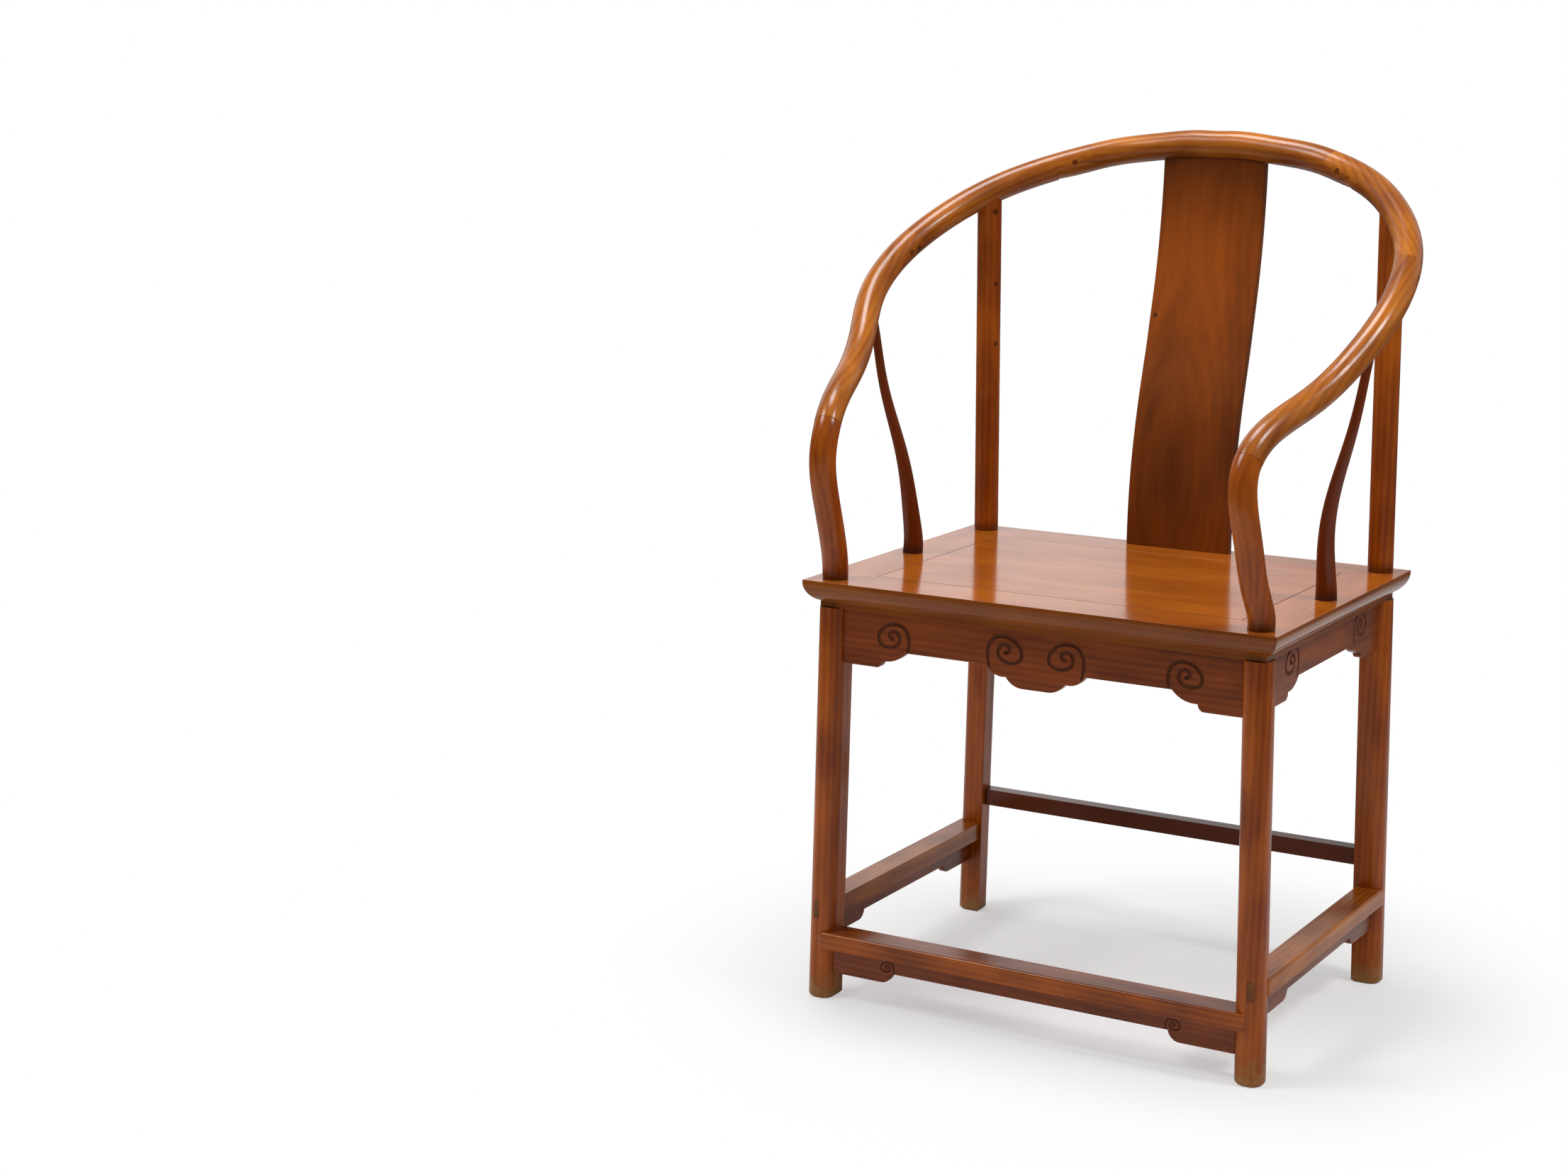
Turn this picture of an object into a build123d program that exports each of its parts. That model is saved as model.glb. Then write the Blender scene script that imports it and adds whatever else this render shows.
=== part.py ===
"""Horseshoe back armchair: a joined hardwood chair, millimetres, +Z up.

The front faces -Y, "left" is -X and "right" is +X. The chair is drawn about the middle of its
seat and is moved, as it is written out, so that the origin is on the floor under the middle of
its overall box. Everything that comes in pairs is drawn on the right and mirrored.
"""
from build123d import *
import os

os.makedirs("parts", exist_ok=True)

# ---------------------------------------------------------------- driving dimensions
# Seat
seat_height = 490.0          # floor to the top of the seat
seat_width = 560.0           # outer edge to outer edge
seat_depth = 428.0
member_width = 62.0          # how far each seat member reaches in from the edge
member_height = 31.0
edge_band = 4.0              # upright band at the top of the moulded edge
edge_inset = 15.2            # how far the moulding draws in below it
panel_thickness = 12.0
tongue_length = 8.0
tongue_thickness = 6.0
brace_width = 28.0
brace_spacing = 220.0        # middle to middle
brace_tenon_length = 8.0
brace_tenon_height = 10.0
dovetail_width = 16.0
dovetail_depth = 4.0

# Legs and posts
leg_size = 32.0
leg_rounding = 14.0          # outer corners are round, the inner corner stays square
foot_rounding = 3.0
post_inset_side = 27.5       # seat edge to the middle of a post
post_inset_front = 26.5
splay_side = 9.0             # how far each foot stands outside its post
splay_front = 2.0
post_diameter = 29.0
seat_neck_diameter = 18.0    # where the mitred seat members close round a post
back_post_station = 0.6995   # place of a back post's top along the line, seat 0 to back centre 1
back_tenon_diameter = 13.0

# Crest rail
rail_rise = 474.5            # seat top to the middle of the rail at the back
rail_diameter = 33.0         # at the back centre
arm_flare = 56.0             # widest point of the arms outside the posts
arm_reach = 44.0             # furthest point of the arms in front of the front posts
back_reach = 83.5            # middle of the rail behind the back posts
pipe_joint_height = 180.0    # seat top to the joint between post and arm
pipe_tenon_diameter = 13.0
pipe_tenon_length = 20.0
lap_length = 46.0            # half-lap joints along the rail
lap_stations = (0.5448, 0.8148)   # their places along the line, seat 0 to back centre 1
pin_size = 6.0
pin_recess = 0.3

# Splat
splat_foot_width = 130.5
splat_head_width = 127.5
splat_thickness = 11.0
splat_inset = 18.5           # back edge of the seat to the middle of the splat's foot
splat_tongue_thickness = 6.0
splat_tongue_depth = 10.0
splat_tongue_shoulder = 10.0

# Side posts
side_post_inset = 25.0       # seat edge to the middle of the foot
side_post_foot_diameter = 24.0
side_post_top_diameter = 9.5
side_post_station = 0.448    # place of its top along the line, seat 0 to back centre 1
side_post_lean = 0.25        # how far it still leans out where it enters the rail
side_foot_tenon_diameter = 12.0
side_foot_tenon_length = 12.0
side_head_tenon_diameter = 6.0

# Aprons under the seat
apron_thickness = 10.0
apron_setout = 6.0           # outer face outside the middle of the legs
front_apron_height = 43.0
front_spandrel_height = 63.0   # deeper ends beside the legs
front_spandrel_length = 87.0
cloud_width = 118.0          # carved drop in the middle of the front apron
cloud_height = 65.0
side_apron_height = 36.5
side_spandrel_height = 57.0
side_spandrel_length = 89.0

# Stretchers
footrest_top = 81.0
footrest_height = 20.0
footrest_width = 35.0
footrest_lap = 4.0           # how far it stands in front of the legs
side_stretcher_top = 117.0
side_stretcher_height = 21.0
side_stretcher_width = 30.5
side_stretcher_lap = 2.0
back_stretcher_top = 160.5
back_stretcher_height = 20.0
back_stretcher_thickness = 18.0
stretcher_nose = 7.0         # rounding of the ends that lap the legs
stretcher_rounding = 3.0     # of the outer edges
stretcher_tenon_width = 7.5
stretcher_tenon_setout = 4.0
blind_tenon_length = 16.0
blind_tenon_height = 12.0

# Aprons under the stretchers
lower_apron_thickness = 8.0
lower_apron_setout = 7.0
lower_apron_height = 18.0
footrest_spandrel_height = 30.0
footrest_spandrel_length = 77.0
side_lower_spandrel_height = 28.0
side_lower_spandrel_length = 74.0

joint_clearance = 0.1        # all round each tenon, tongue and neck

# ---------------------------------------------------------------- derived places
seat_underside = seat_height - member_height
post_x = seat_width / 2 - post_inset_side
post_y = seat_depth / 2 - post_inset_front
foot_x = post_x + splay_side
foot_y = post_y + splay_front
post_radius = post_diameter / 2
panel_underside = seat_height - panel_thickness
opening_width = seat_width - 2 * member_width
opening_depth = seat_depth - 2 * member_width


def leg_middle(height):
    """Middle of the right back leg at a height, below the seat."""
    share = height / seat_underside
    return foot_x + (post_x - foot_x) * share, foot_y + (post_y - foot_y) * share


# ---------------------------------------------------------------- small helpers
def cut_away(blank, *cuts):
    with BuildPart() as piece:
        add(blank)
        for cut in cuts:
            add(cut, mode=Mode.SUBTRACT)
    return piece.part


def joined(*solids):
    with BuildPart() as piece:
        for solid in solids:
            add(solid)
    return piece.part


def other_side(solid):
    """The matching shape on the left."""
    with BuildPart() as piece:
        mirror(solid, about=Plane.YZ)
    return piece.part


def block(low, high):
    """A box between two opposite corners."""
    size = Vector(*high) - Vector(*low)
    with BuildPart() as piece:
        with Locations((Vector(*low) + Vector(*high)) / 2):
            Box(size.X, size.Y, size.Z)
    return piece.part


def rod(start, toward, diameter, length):
    with BuildPart() as piece:
        with BuildSketch(Plane(origin=start, z_dir=Vector(*toward))):
            Circle(diameter / 2)
        extrude(amount=length)
    return piece.part


def stations(start, end, count):
    return [start + (end - start) * i / (count - 1) for i in range(count)]


# ---------------------------------------------------------------- line of rail and posts
# Each point of the rail is a share of its half width, of its depth and of its rise.
rail_shape = [
    (0.794, 0.000, 0.284),
    (0.790, 0.004, 0.347),
    (0.806, 0.055, 0.413),
    (0.843, 0.142, 0.456),
    (0.891, 0.242, 0.496),
    (0.937, 0.327, 0.548),
    (0.989, 0.420, 0.626),
    (1.000, 0.542, 0.712),
    (0.940, 0.686, 0.799),
    (0.800, 0.818, 0.880),
    (0.596, 0.9325, 0.941),
    (0.454, 0.9725, 0.968),
    (0.308, 0.991, 0.986),
    (0.162, 0.998, 0.9965),
]
# Each point of a front post is a share of the arms' flare and reach and of the rail's rise:
# how far it stands inside its foot, in front of it and above the seat.
post_shape = [(0.0, 0.0, 0.0), (0.0625, 0.27, 0.0916), (0.098, 0.73, 0.2021)]

half_span = post_x + arm_flare
arm_front = -(post_y + arm_reach)
rail_back = post_y + back_reach
rail_middle = seat_height + rail_rise


def line_points():
    """From the seat up the right post and round to just short of the back centre."""
    points = []
    for inside, front, up in post_shape:
        x, y = post_x - inside * arm_flare, -post_y - front * arm_reach
        points.append((x, y, seat_height + up * rail_rise))
    for across, along, up in rail_shape:
        y = arm_front + along * (rail_back - arm_front)
        points.append((across * half_span, y, seat_height + up * rail_rise))
    return points


with BuildLine() as spine_line:
    Spline(*line_points(), (0, rail_back, rail_middle), tangents=((0, 0, 1), (-1, 0, 0)))
spine = spine_line.edges()[0]


def line_point(station):
    """A place on the line: 0 at the right seat corner, 1 at the back centre, 2 at the left."""
    right = spine @ min(station, 2 - station)
    return Vector(right.X if station <= 1 else -right.X, right.Y, right.Z)


def line_direction(station):
    right = spine % min(station, 2 - station)
    return right if station <= 1 else Vector(right.X, -right.Y, -right.Z)


def station_at_height(height):
    """Place along the line, on the right post, at a height above the floor."""
    low, high = 0.0, 0.5
    for _ in range(40):
        middle = (low + high) / 2
        if line_point(middle).Z < height:
            low = middle
        else:
            high = middle
    return low


def line_radius(station):
    """The stick tapers evenly from the back centre down to the seat."""
    return rail_diameter / 2 + abs(1 - station) * (post_diameter - rail_diameter) / 2


def rail_plane(station):
    """Square to the rail: local x points inwards, local y points up."""
    along = line_direction(station)
    return Plane(origin=line_point(station), x_dir=Vector(0, 0, 1).cross(along), z_dir=along)


def round_plane(station):
    """As rail_plane, turned so that the round surface starts clear of every joint."""
    square = rail_plane(station)
    return Plane(origin=square.origin, x_dir=square.x_dir - square.y_dir, z_dir=square.z_dir)


pipe_station = station_at_height(seat_height + pipe_joint_height)


def post_plane(station):
    """As rail_plane, for the steep stretch of the line."""
    return Plane(origin=line_point(station), x_dir=(1, 0, 0), z_dir=line_direction(station))


# ---------------------------------------------------------------- crest rail
def rail_blank(start, end):
    """The round stick between two places, longer by a lap's length where it has a lap."""
    extra = lap_length / spine.length
    first = start - extra if start in laps else start
    last = end + extra if end in laps else end
    with BuildPart() as blank:
        for station in stations(first, last, 13):
            with BuildSketch(round_plane(station)):
                Circle(line_radius(station))
        loft()
    return blank.part


def lap_waste(station, beyond, upper):
    """What a section loses at a half lap: all beyond it, and half of its height."""
    width = 3 * rail_diameter
    half = Align.MIN if upper else Align.MAX
    with BuildPart() as waste:
        with Locations(rail_plane(station)):
            with Locations((0, 0, beyond * 1.5 * lap_length)):
                Box(width, width, 2 * lap_length)
            Box(width, width, lap_length, align=(Align.CENTER, half, Align.CENTER))
    return waste.part


def pin_block(station, length):
    with BuildPart() as pin:
        with Locations(rail_plane(station)):
            Box(length, pin_size, pin_size)
    return pin.part


def rail_section(blank, start, end, *cuts):
    """At each lap the section nearer to the back centre has the lower half."""
    wastes = list(cuts)
    if start in laps:
        wastes += [lap_waste(start, -1, True), pin_block(start, 2 * rail_diameter)]
    if end in laps:
        wastes += [lap_waste(end, 1, end > 1), pin_block(end, 2 * rail_diameter)]
    return cut_away(blank, *wastes)


front_lap, back_lap = lap_stations
laps = (front_lap, back_lap, 2 - back_lap, 2 - front_lap)
arm_blank = rail_blank(pipe_station, front_lap)
shoulder_blank = rail_blank(front_lap, back_lap)
centre_blank = rail_blank(back_lap, 2 - back_lap)


def pipe_tenon(clearance):
    joint = post_plane(pipe_station)
    diameter = pipe_tenon_diameter + 2 * clearance
    return rod(joint.origin, joint.z_dir, diameter, pipe_tenon_length + clearance)


# ---------------------------------------------------------------- back posts
back_post_foot = Vector(post_x, post_y, seat_height)
back_post_top = line_point(back_post_station)


def seat_neck(end, clearance):
    """The thinner stretch of a post, at the front (-1) or back (1), inside the seat."""
    with BuildPart() as neck:
        with BuildSketch(Plane.XY.offset(seat_underside)):
            with Locations((post_x, end * post_y)):
                Circle(seat_neck_diameter / 2 + clearance)
        extrude(amount=member_height)
    return neck.part


def back_post_tenon(clearance):
    """Round tenon from the middle of the rail down into the post."""
    diameter = back_tenon_diameter + 2 * clearance
    return rod(back_post_top, back_post_foot - back_post_top, diameter, rail_diameter)


def back_post():
    rise = back_post_top - back_post_foot
    with BuildPart() as post:
        with BuildSketch(Plane.XY.offset(seat_height)):
            with Locations((post_x, post_y)):
                Circle(post_radius)
        extrude(amount=rise.length, dir=rise)
    return cut_away(post.part, shoulder_blank)


# ---------------------------------------------------------------- front posts
def front_post():
    with BuildPart() as post:
        for station in stations(0, pipe_station, 8):
            with BuildSketch(post_plane(station)):
                Circle(line_radius(station))
        loft()
    return post.part


# ---------------------------------------------------------------- side posts
side_post_x = seat_width / 2 - side_post_inset
side_post_head = line_point(side_post_station)
# Each point of the bend: share of the way out, of the way forward and of the way up.
side_post_shape = [(0.0, 0.0, 0.0), (0.0, 0.4, 0.2), (0.2, 0.73, 0.42), (0.57, 0.96, 0.64), (1.0, 1.0, 1.0)]


def side_post_point(out, forward, up):
    x = side_post_x + out * (side_post_head.X - side_post_x)
    return x, forward * side_post_head.Y, seat_height + up * (side_post_head.Z - seat_height)


with BuildLine() as side_line:
    Spline(
        *[side_post_point(*shares) for shares in side_post_shape],
        tangents=((0, 0, 1), (side_post_lean, 0, 1)),
    )
side_curve = side_line.edges()[0]


def side_foot_tenon(clearance):
    diameter = side_foot_tenon_diameter + 2 * clearance
    return rod((side_post_x, 0, seat_height), (0, 0, -1), diameter, side_foot_tenon_length + clearance)


def side_head_tenon(clearance):
    """Round tenon from the middle of the rail down into the post."""
    return rod(side_curve @ 1, -(side_curve % 1), side_head_tenon_diameter + 2 * clearance, rail_diameter)


def side_post():
    swell = side_post_foot_diameter - side_post_top_diameter
    with BuildPart() as post:
        for share in stations(0, 1, 8):
            with BuildSketch(Plane(origin=side_curve @ share, x_dir=(1, 0, 0), z_dir=side_curve % share)):
                Circle((side_post_top_diameter + swell * (1 - share) ** 2) / 2)
        loft()
    return joined(cut_away(post.part, arm_blank), side_head_tenon(0), side_foot_tenon(0))


# ---------------------------------------------------------------- splat
# Each point of the splat's curve: share of its lean back and share of its rise.
splat_shape = [
    (0.0, 0.0),
    (0.02, 0.124),
    (0.086, 0.219),
    (0.192, 0.308),
    (0.328, 0.394),
    (0.489, 0.4805),
    (0.634, 0.569),
    (0.772, 0.6575),
    (0.874, 0.744),
    (0.944, 0.83),
    (1.0, 1.0),
]
splat_foot = seat_depth / 2 - splat_inset


def splat_curve(offset):
    lean = rail_back - splat_foot
    return [(splat_foot + s * lean + offset, seat_height + up * rail_rise) for s, up in splat_shape]


def splat_tongue(y, middle, width, clearance):
    """A flat tongue that reaches equally far above and below a height."""
    half_width = width / 2 - splat_tongue_shoulder + clearance
    half_thickness = splat_tongue_thickness / 2 + clearance
    half_depth = splat_tongue_depth + clearance
    return block(
        (-half_width, y - half_thickness, middle - half_depth),
        (half_width, y + half_thickness, middle + half_depth),
    )


def splat_head_tongue(clearance):
    return splat_tongue(rail_back, rail_middle - rail_diameter / 2, splat_head_width, clearance)


def splat_foot_tongue(clearance):
    return splat_tongue(splat_foot, seat_height, splat_foot_width, clearance)


def splat_board():
    with BuildPart() as board:
        with BuildSketch(Plane.YZ):
            with BuildLine():
                front = Spline(*splat_curve(-splat_thickness / 2))
                back = Spline(*splat_curve(splat_thickness / 2))
                Line(front @ 0, back @ 0)
                Line(front @ 1, back @ 1)
            make_face()
        extrude(amount=splat_foot_width / 2, both=True)
        with BuildSketch(Plane.XZ):
            with BuildLine():
                Polyline(
                    (-splat_foot_width / 2, seat_height),
                    (splat_foot_width / 2, seat_height),
                    (splat_head_width / 2, rail_middle),
                    (-splat_head_width / 2, rail_middle),
                    close=True,
                )
            make_face()
        extrude(amount=2 * rail_back, both=True, mode=Mode.INTERSECT)
    return board.part


# ---------------------------------------------------------------- stretchers
def lapped_bar(plane, half_length, outer, width, height):
    """A bar from leg middle to leg middle: local x along it, local y outwards."""
    with BuildPart() as bar:
        with BuildSketch(plane) as plan:
            with Locations((0, outer - width / 2)):
                Rectangle(2 * half_length, width)
            fillet(plan.vertices().group_by(Axis.Y)[-1], stretcher_nose)
        extrude(amount=height)

        def outwards(edge):
            return (edge.center() - plane.origin).dot(plane.y_dir)

        long_edges = bar.edges().filter_by(Axis.Z, reverse=True)
        fillet([e for e in long_edges if outwards(e) > outer - stretcher_nose / 2], stretcher_rounding)
    return bar.part


footrest_leg = leg_middle(footrest_top - footrest_height / 2)
footrest_plane = Plane(origin=(0, 0, footrest_top), x_dir=(1, 0, 0), z_dir=(0, 0, -1))
side_leg = leg_middle(side_stretcher_top - side_stretcher_height / 2)
side_plane = Plane(origin=(0, 0, side_stretcher_top), x_dir=(0, 1, 0), z_dir=(0, 0, -1))
back_leg = leg_middle(back_stretcher_top - back_stretcher_height / 2)


def blind_tenon(leg, end, setout, top, height, clearance):
    """Tenon of a front or back stretcher, into the right leg."""
    x, y = leg
    inner = x - leg_size / 2
    middle = top - height / 2
    half_width = stretcher_tenon_width / 2 + clearance
    half_height = blind_tenon_height / 2 + clearance
    return block(
        (inner - leg_size / 2, end * (y + setout) - half_width, middle - half_height),
        (inner + blind_tenon_length + clearance, end * (y + setout) + half_width, middle + half_height),
    )


def footrest_tenon(clearance):
    return blind_tenon(footrest_leg, -1, stretcher_tenon_setout, footrest_top, footrest_height, clearance)


def back_stretcher_tenon(clearance):
    return blind_tenon(back_leg, 1, 0, back_stretcher_top, back_stretcher_height, clearance)


def side_tenon(end, clearance):
    """Tenon of the right side stretcher: through the front leg, blind in the back leg."""
    x, y = side_leg
    middle_x = x + stretcher_tenon_setout
    middle_z = side_stretcher_top - side_stretcher_height / 2
    inner = y - leg_size / 2
    half_height = side_stretcher_height / 2 if end < 0 else blind_tenon_height / 2
    reach = 2 * leg_size if end < 0 else blind_tenon_length + clearance
    near, far = sorted((end * (inner - leg_size / 2), end * (inner + reach)))
    half_width = stretcher_tenon_width / 2 + clearance
    return block(
        (middle_x - half_width, near, middle_z - half_height - clearance),
        (middle_x + half_width, far, middle_z + half_height + clearance),
    )


# ---------------------------------------------------------------- legs
def lower_leg(end):
    """Right leg, front (-1) or back (1), up to the shoulder under the seat."""
    rake = Vector(post_x - foot_x, end * (post_y - foot_y), seat_underside)
    with BuildPart() as lower:
        with BuildSketch() as section:
            with Locations((foot_x, end * foot_y)):
                Rectangle(leg_size, leg_size)
            inner = section.vertices().sort_by(lambda v: abs(v.X) + abs(v.Y))[0]
            fillet([v for v in section.vertices() if v != inner], leg_rounding)
        extrude(amount=rake.length, dir=rake)
        chamfer(lower.faces().sort_by(Axis.Z)[0].edges(), foot_rounding)
    return lower.part


front_lower = lower_leg(-1)
back_lower = lower_leg(1)


# ---------------------------------------------------------------- aprons
def apron_board(plane, thickness, edge):
    """A board as thick as given, its outline symmetrical about the middle."""
    with BuildPart() as board:
        with BuildSketch(plane):
            with BuildLine():
                edge()
                mirror(about=Plane.YZ)
            make_face()
        extrude(amount=-thickness)
    return board.part


def seat_apron_edge(leg, height, spandrel_height, spandrel_length, cloud):
    """Half outline: deep end with a curled tip, plain middle, and a cloud if wanted."""
    low = seat_underside - height
    drop = spandrel_height - height
    tip = leg - leg_size / 2

    def spandrel(length, depth):
        return tip - length * spandrel_length, low - depth * drop

    def cloud_point(across, depth):
        return across * cloud_width / 2, low - depth * (cloud_height - height)

    Polyline((0, seat_underside), (leg, seat_underside), (leg, low - drop), spandrel(0.59, 1))
    ThreePointArc(spandrel(0.59, 1), spandrel(0.64, 0.85), spandrel(0.66, 0.6))
    ThreePointArc(spandrel(0.66, 0.6), spandrel(0.86, 0.46), spandrel(1, 0))
    if cloud:
        Line(spandrel(1, 0), cloud_point(1, 0))
        ThreePointArc(cloud_point(1, 0), cloud_point(0.85, 0.4), cloud_point(0.6, 0.5))
        ThreePointArc(cloud_point(0.6, 0.5), cloud_point(0.47, 0.84), cloud_point(0.28, 1))
        Line(cloud_point(0.28, 1), cloud_point(0, 1))
    else:
        Line(spandrel(1, 0), (0, low))


def lower_apron_edge(leg, top, spandrel_length, height):
    """Half outline of the apron under a stretcher."""
    tip = leg - leg_size / 2
    low = top - lower_apron_height
    drop = height - lower_apron_height
    end = tip - spandrel_length
    Polyline((0, top), (leg, top), (leg, low - drop), (end + 0.18 * spandrel_length, low - drop))
    ThreePointArc(
        (end + 0.18 * spandrel_length, low - drop),
        (end + 0.07 * spandrel_length, low - 0.75 * drop),
        (end, low),
    )
    Line((end, low), (0, low))


# ---------------------------------------------------------------- seat
# The moulded edge below its band: shares of the inset and of the height that is left.
moulding = [
    (0.0, 0.0),
    (0.2, 0.37),
    (0.56, 0.619),
    (0.803, 0.711),
    (1.0, 0.759),
    (1.0, 1.0),
]


def seat_member(plane, length):
    """A moulded bar along the plane's normal: local x inwards, local y up."""
    left_to_fall = member_height - edge_band
    band = seat_height - edge_band
    edge = [(x * edge_inset, band - down * left_to_fall) for x, down in moulding]
    with BuildPart() as bar:
        with BuildSketch(plane):
            with BuildLine():
                Polyline(edge[0], (0, seat_height), (member_width, seat_height))
                Polyline((member_width, seat_height), (member_width, seat_underside), edge[5])
                ThreePointArc(edge[0], edge[1], edge[2])
                ThreePointArc(edge[2], edge[3], edge[4])
                Line(edge[4], edge[5])
            make_face()
        extrude(amount=length / 2, both=True)
    return bar.part


def mitred(bar, corners, keep):
    """Cut a bar to the mitres of two seat corners, each given as its side and end."""
    with BuildPart() as piece:
        add(bar)
        for side, end in corners:
            corner = (side * seat_width / 2, end * seat_depth / 2, 0)
            split(bisect_by=Plane(origin=corner, z_dir=(side, -end, 0)), keep=keep)
    return piece.part


def tongue_block(clearance):
    """The tongue round the seat panel, as a block across the whole opening."""
    half_x = opening_width / 2 + tongue_length + clearance
    half_y = opening_depth / 2 + tongue_length + clearance
    return block(
        (-half_x, -half_y, panel_underside),
        (half_x, half_y, panel_underside + tongue_thickness),
    )


def brace(x):
    with BuildPart() as bar:
        add(block(
            (x - brace_width / 2, -opening_depth / 2, seat_underside),
            (x + brace_width / 2, opening_depth / 2, panel_underside),
        ))
        with BuildSketch(Plane.XZ):
            with Locations((x, panel_underside)):
                Trapezoid(
                    dovetail_width,
                    dovetail_depth,
                    105,
                    align=(Align.CENTER, Align.MIN),
                )
        extrude(amount=opening_depth / 2, both=True)
        add(brace_tenons(x, 0))
    return bar.part


def brace_tenons(x, clearance):
    half_length = opening_depth / 2 + brace_tenon_length + clearance
    middle = (seat_underside + panel_underside) / 2
    half_height = brace_tenon_height / 2 + clearance
    half_width = brace_width / 2 + clearance
    return block(
        (x - half_width, -half_length, middle - half_height),
        (x + half_width, half_length, middle + half_height),
    )


# ---------------------------------------------------------------- make every piece
pieces = {}

# Crest rail
head_mortise = splat_head_tongue(joint_clearance)
pieces["crest_rail_centre"] = rail_section(centre_blank, back_lap, 2 - back_lap, head_mortise)
pieces["crest_rail_shoulder_right"] = rail_section(
    shoulder_blank, front_lap, back_lap, back_post_tenon(joint_clearance)
)
pieces["arm_right"] = rail_section(
    arm_blank, pipe_station, front_lap, side_head_tenon(joint_clearance), pipe_tenon(joint_clearance)
)
pins = [pin_block(s, 2 * (line_radius(s) - pin_recess)) for s in laps]
pieces["rail_wedge_pins"] = joined(*pins)

# Back
board = cut_away(splat_board(), centre_blank)
pieces["back_splat"] = joined(board, splat_head_tongue(0), splat_foot_tongue(0))
pieces["side_post_right"] = side_post()

# Legs
side_through = side_tenon(-1, joint_clearance)
front_leg = joined(front_lower, seat_neck(-1, 0), front_post(), pipe_tenon(0))
pieces["front_leg_right"] = cut_away(front_leg, side_through, footrest_tenon(joint_clearance))
back_leg_right = joined(back_lower, seat_neck(1, 0), back_post(), back_post_tenon(0))
pieces["back_leg_right"] = cut_away(
    back_leg_right, side_tenon(1, joint_clearance), back_stretcher_tenon(joint_clearance)
)

# Seat
necks = [seat_neck(-1, joint_clearance), seat_neck(1, joint_clearance)]
necks += [other_side(neck) for neck in necks]
groove = tongue_block(joint_clearance)
brace_mortises = [brace_tenons(s * brace_spacing / 2, joint_clearance) for s in (-1, 1)]
front_bar = seat_member(Plane(origin=(0, -seat_depth / 2, 0), x_dir=(0, 1, 0), z_dir=(1, 0, 0)), seat_width)
back_bar = seat_member(Plane(origin=(0, seat_depth / 2, 0), x_dir=(0, -1, 0), z_dir=(-1, 0, 0)), seat_width)
side_bar = seat_member(Plane(origin=(seat_width / 2, 0, 0), x_dir=(-1, 0, 0), z_dir=(0, 1, 0)), seat_depth)
front_member = mitred(front_bar, [(-1, -1), (1, -1)], Keep.BOTTOM)
back_member = mitred(back_bar, [(-1, 1), (1, 1)], Keep.BOTTOM)
right_member = mitred(side_bar, [(1, -1), (1, 1)], Keep.TOP)
foot_mortise = splat_foot_tongue(joint_clearance)
pieces["seat_member_front"] = cut_away(front_member, groove, *necks, *brace_mortises)
pieces["seat_member_back"] = cut_away(back_member, groove, *necks, *brace_mortises, foot_mortise)
pieces["seat_member_right"] = cut_away(right_member, groove, *necks, side_foot_tenon(joint_clearance))
pieces["seat_braces"] = joined(brace(-brace_spacing / 2), brace(brace_spacing / 2))
plate_x = opening_width / 2 - joint_clearance
plate_y = opening_depth / 2 - joint_clearance
plate = block((-plate_x, -plate_y, panel_underside), (plate_x, plate_y, seat_height))
pieces["seat_panel"] = cut_away(joined(plate, tongue_block(0)), pieces["seat_braces"])

# Aprons under the seat
front_legs = [front_lower, other_side(front_lower)]
back_legs = [back_lower, other_side(back_lower)]
face_y = post_y + apron_setout


def front_edge():
    seat_apron_edge(foot_x, front_apron_height, front_spandrel_height, front_spandrel_length, True)


def side_edge():
    seat_apron_edge(foot_y, side_apron_height, side_spandrel_height, side_spandrel_length, False)


front_board = apron_board(Plane.XZ.offset(face_y), apron_thickness, front_edge)
side_board = apron_board(Plane.YZ.offset(post_x + apron_setout), apron_thickness, side_edge)
back_board = block(
    (-foot_x, face_y - apron_thickness, seat_underside - front_apron_height),
    (foot_x, face_y, seat_underside),
)
pieces["front_apron"] = cut_away(front_board, *front_legs)
pieces["side_apron_right"] = cut_away(side_board, front_lower, back_lower)
pieces["back_apron"] = cut_away(back_board, *back_legs)

# Stretchers
footrest_outer = footrest_leg[1] + leg_size / 2 + footrest_lap
footrest_bar = lapped_bar(footrest_plane, footrest_leg[0], footrest_outer, footrest_width, footrest_height)
pieces["footrest"] = joined(
    cut_away(footrest_bar, *front_legs), footrest_tenon(0), other_side(footrest_tenon(0))
)
side_outer = side_leg[0] + leg_size / 2 + side_stretcher_lap
side_stretcher = lapped_bar(
    side_plane, side_leg[1], side_outer, side_stretcher_width, side_stretcher_height
)
with BuildPart() as through_tenon:
    add(side_tenon(-1, 0))
    add(front_lower, mode=Mode.INTERSECT)
pieces["side_stretcher_right"] = joined(
    cut_away(side_stretcher, front_lower, back_lower), through_tenon.part, side_tenon(1, 0)
)
back_bar_y = back_stretcher_thickness / 2
back_stretcher = block(
    (-back_leg[0], back_leg[1] - back_bar_y, back_stretcher_top - back_stretcher_height),
    (back_leg[0], back_leg[1] + back_bar_y, back_stretcher_top),
)
pieces["back_stretcher"] = joined(
    cut_away(back_stretcher, *back_legs), back_stretcher_tenon(0), other_side(back_stretcher_tenon(0))
)

# Aprons under the stretchers
footrest_underside = footrest_top - footrest_height
side_underside = side_stretcher_top - side_stretcher_height


def footrest_edge():
    lower_apron_edge(foot_x, footrest_underside, footrest_spandrel_length, footrest_spandrel_height)


def side_lower_edge():
    lower_apron_edge(foot_y, side_underside, side_lower_spandrel_length, side_lower_spandrel_height)


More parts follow.
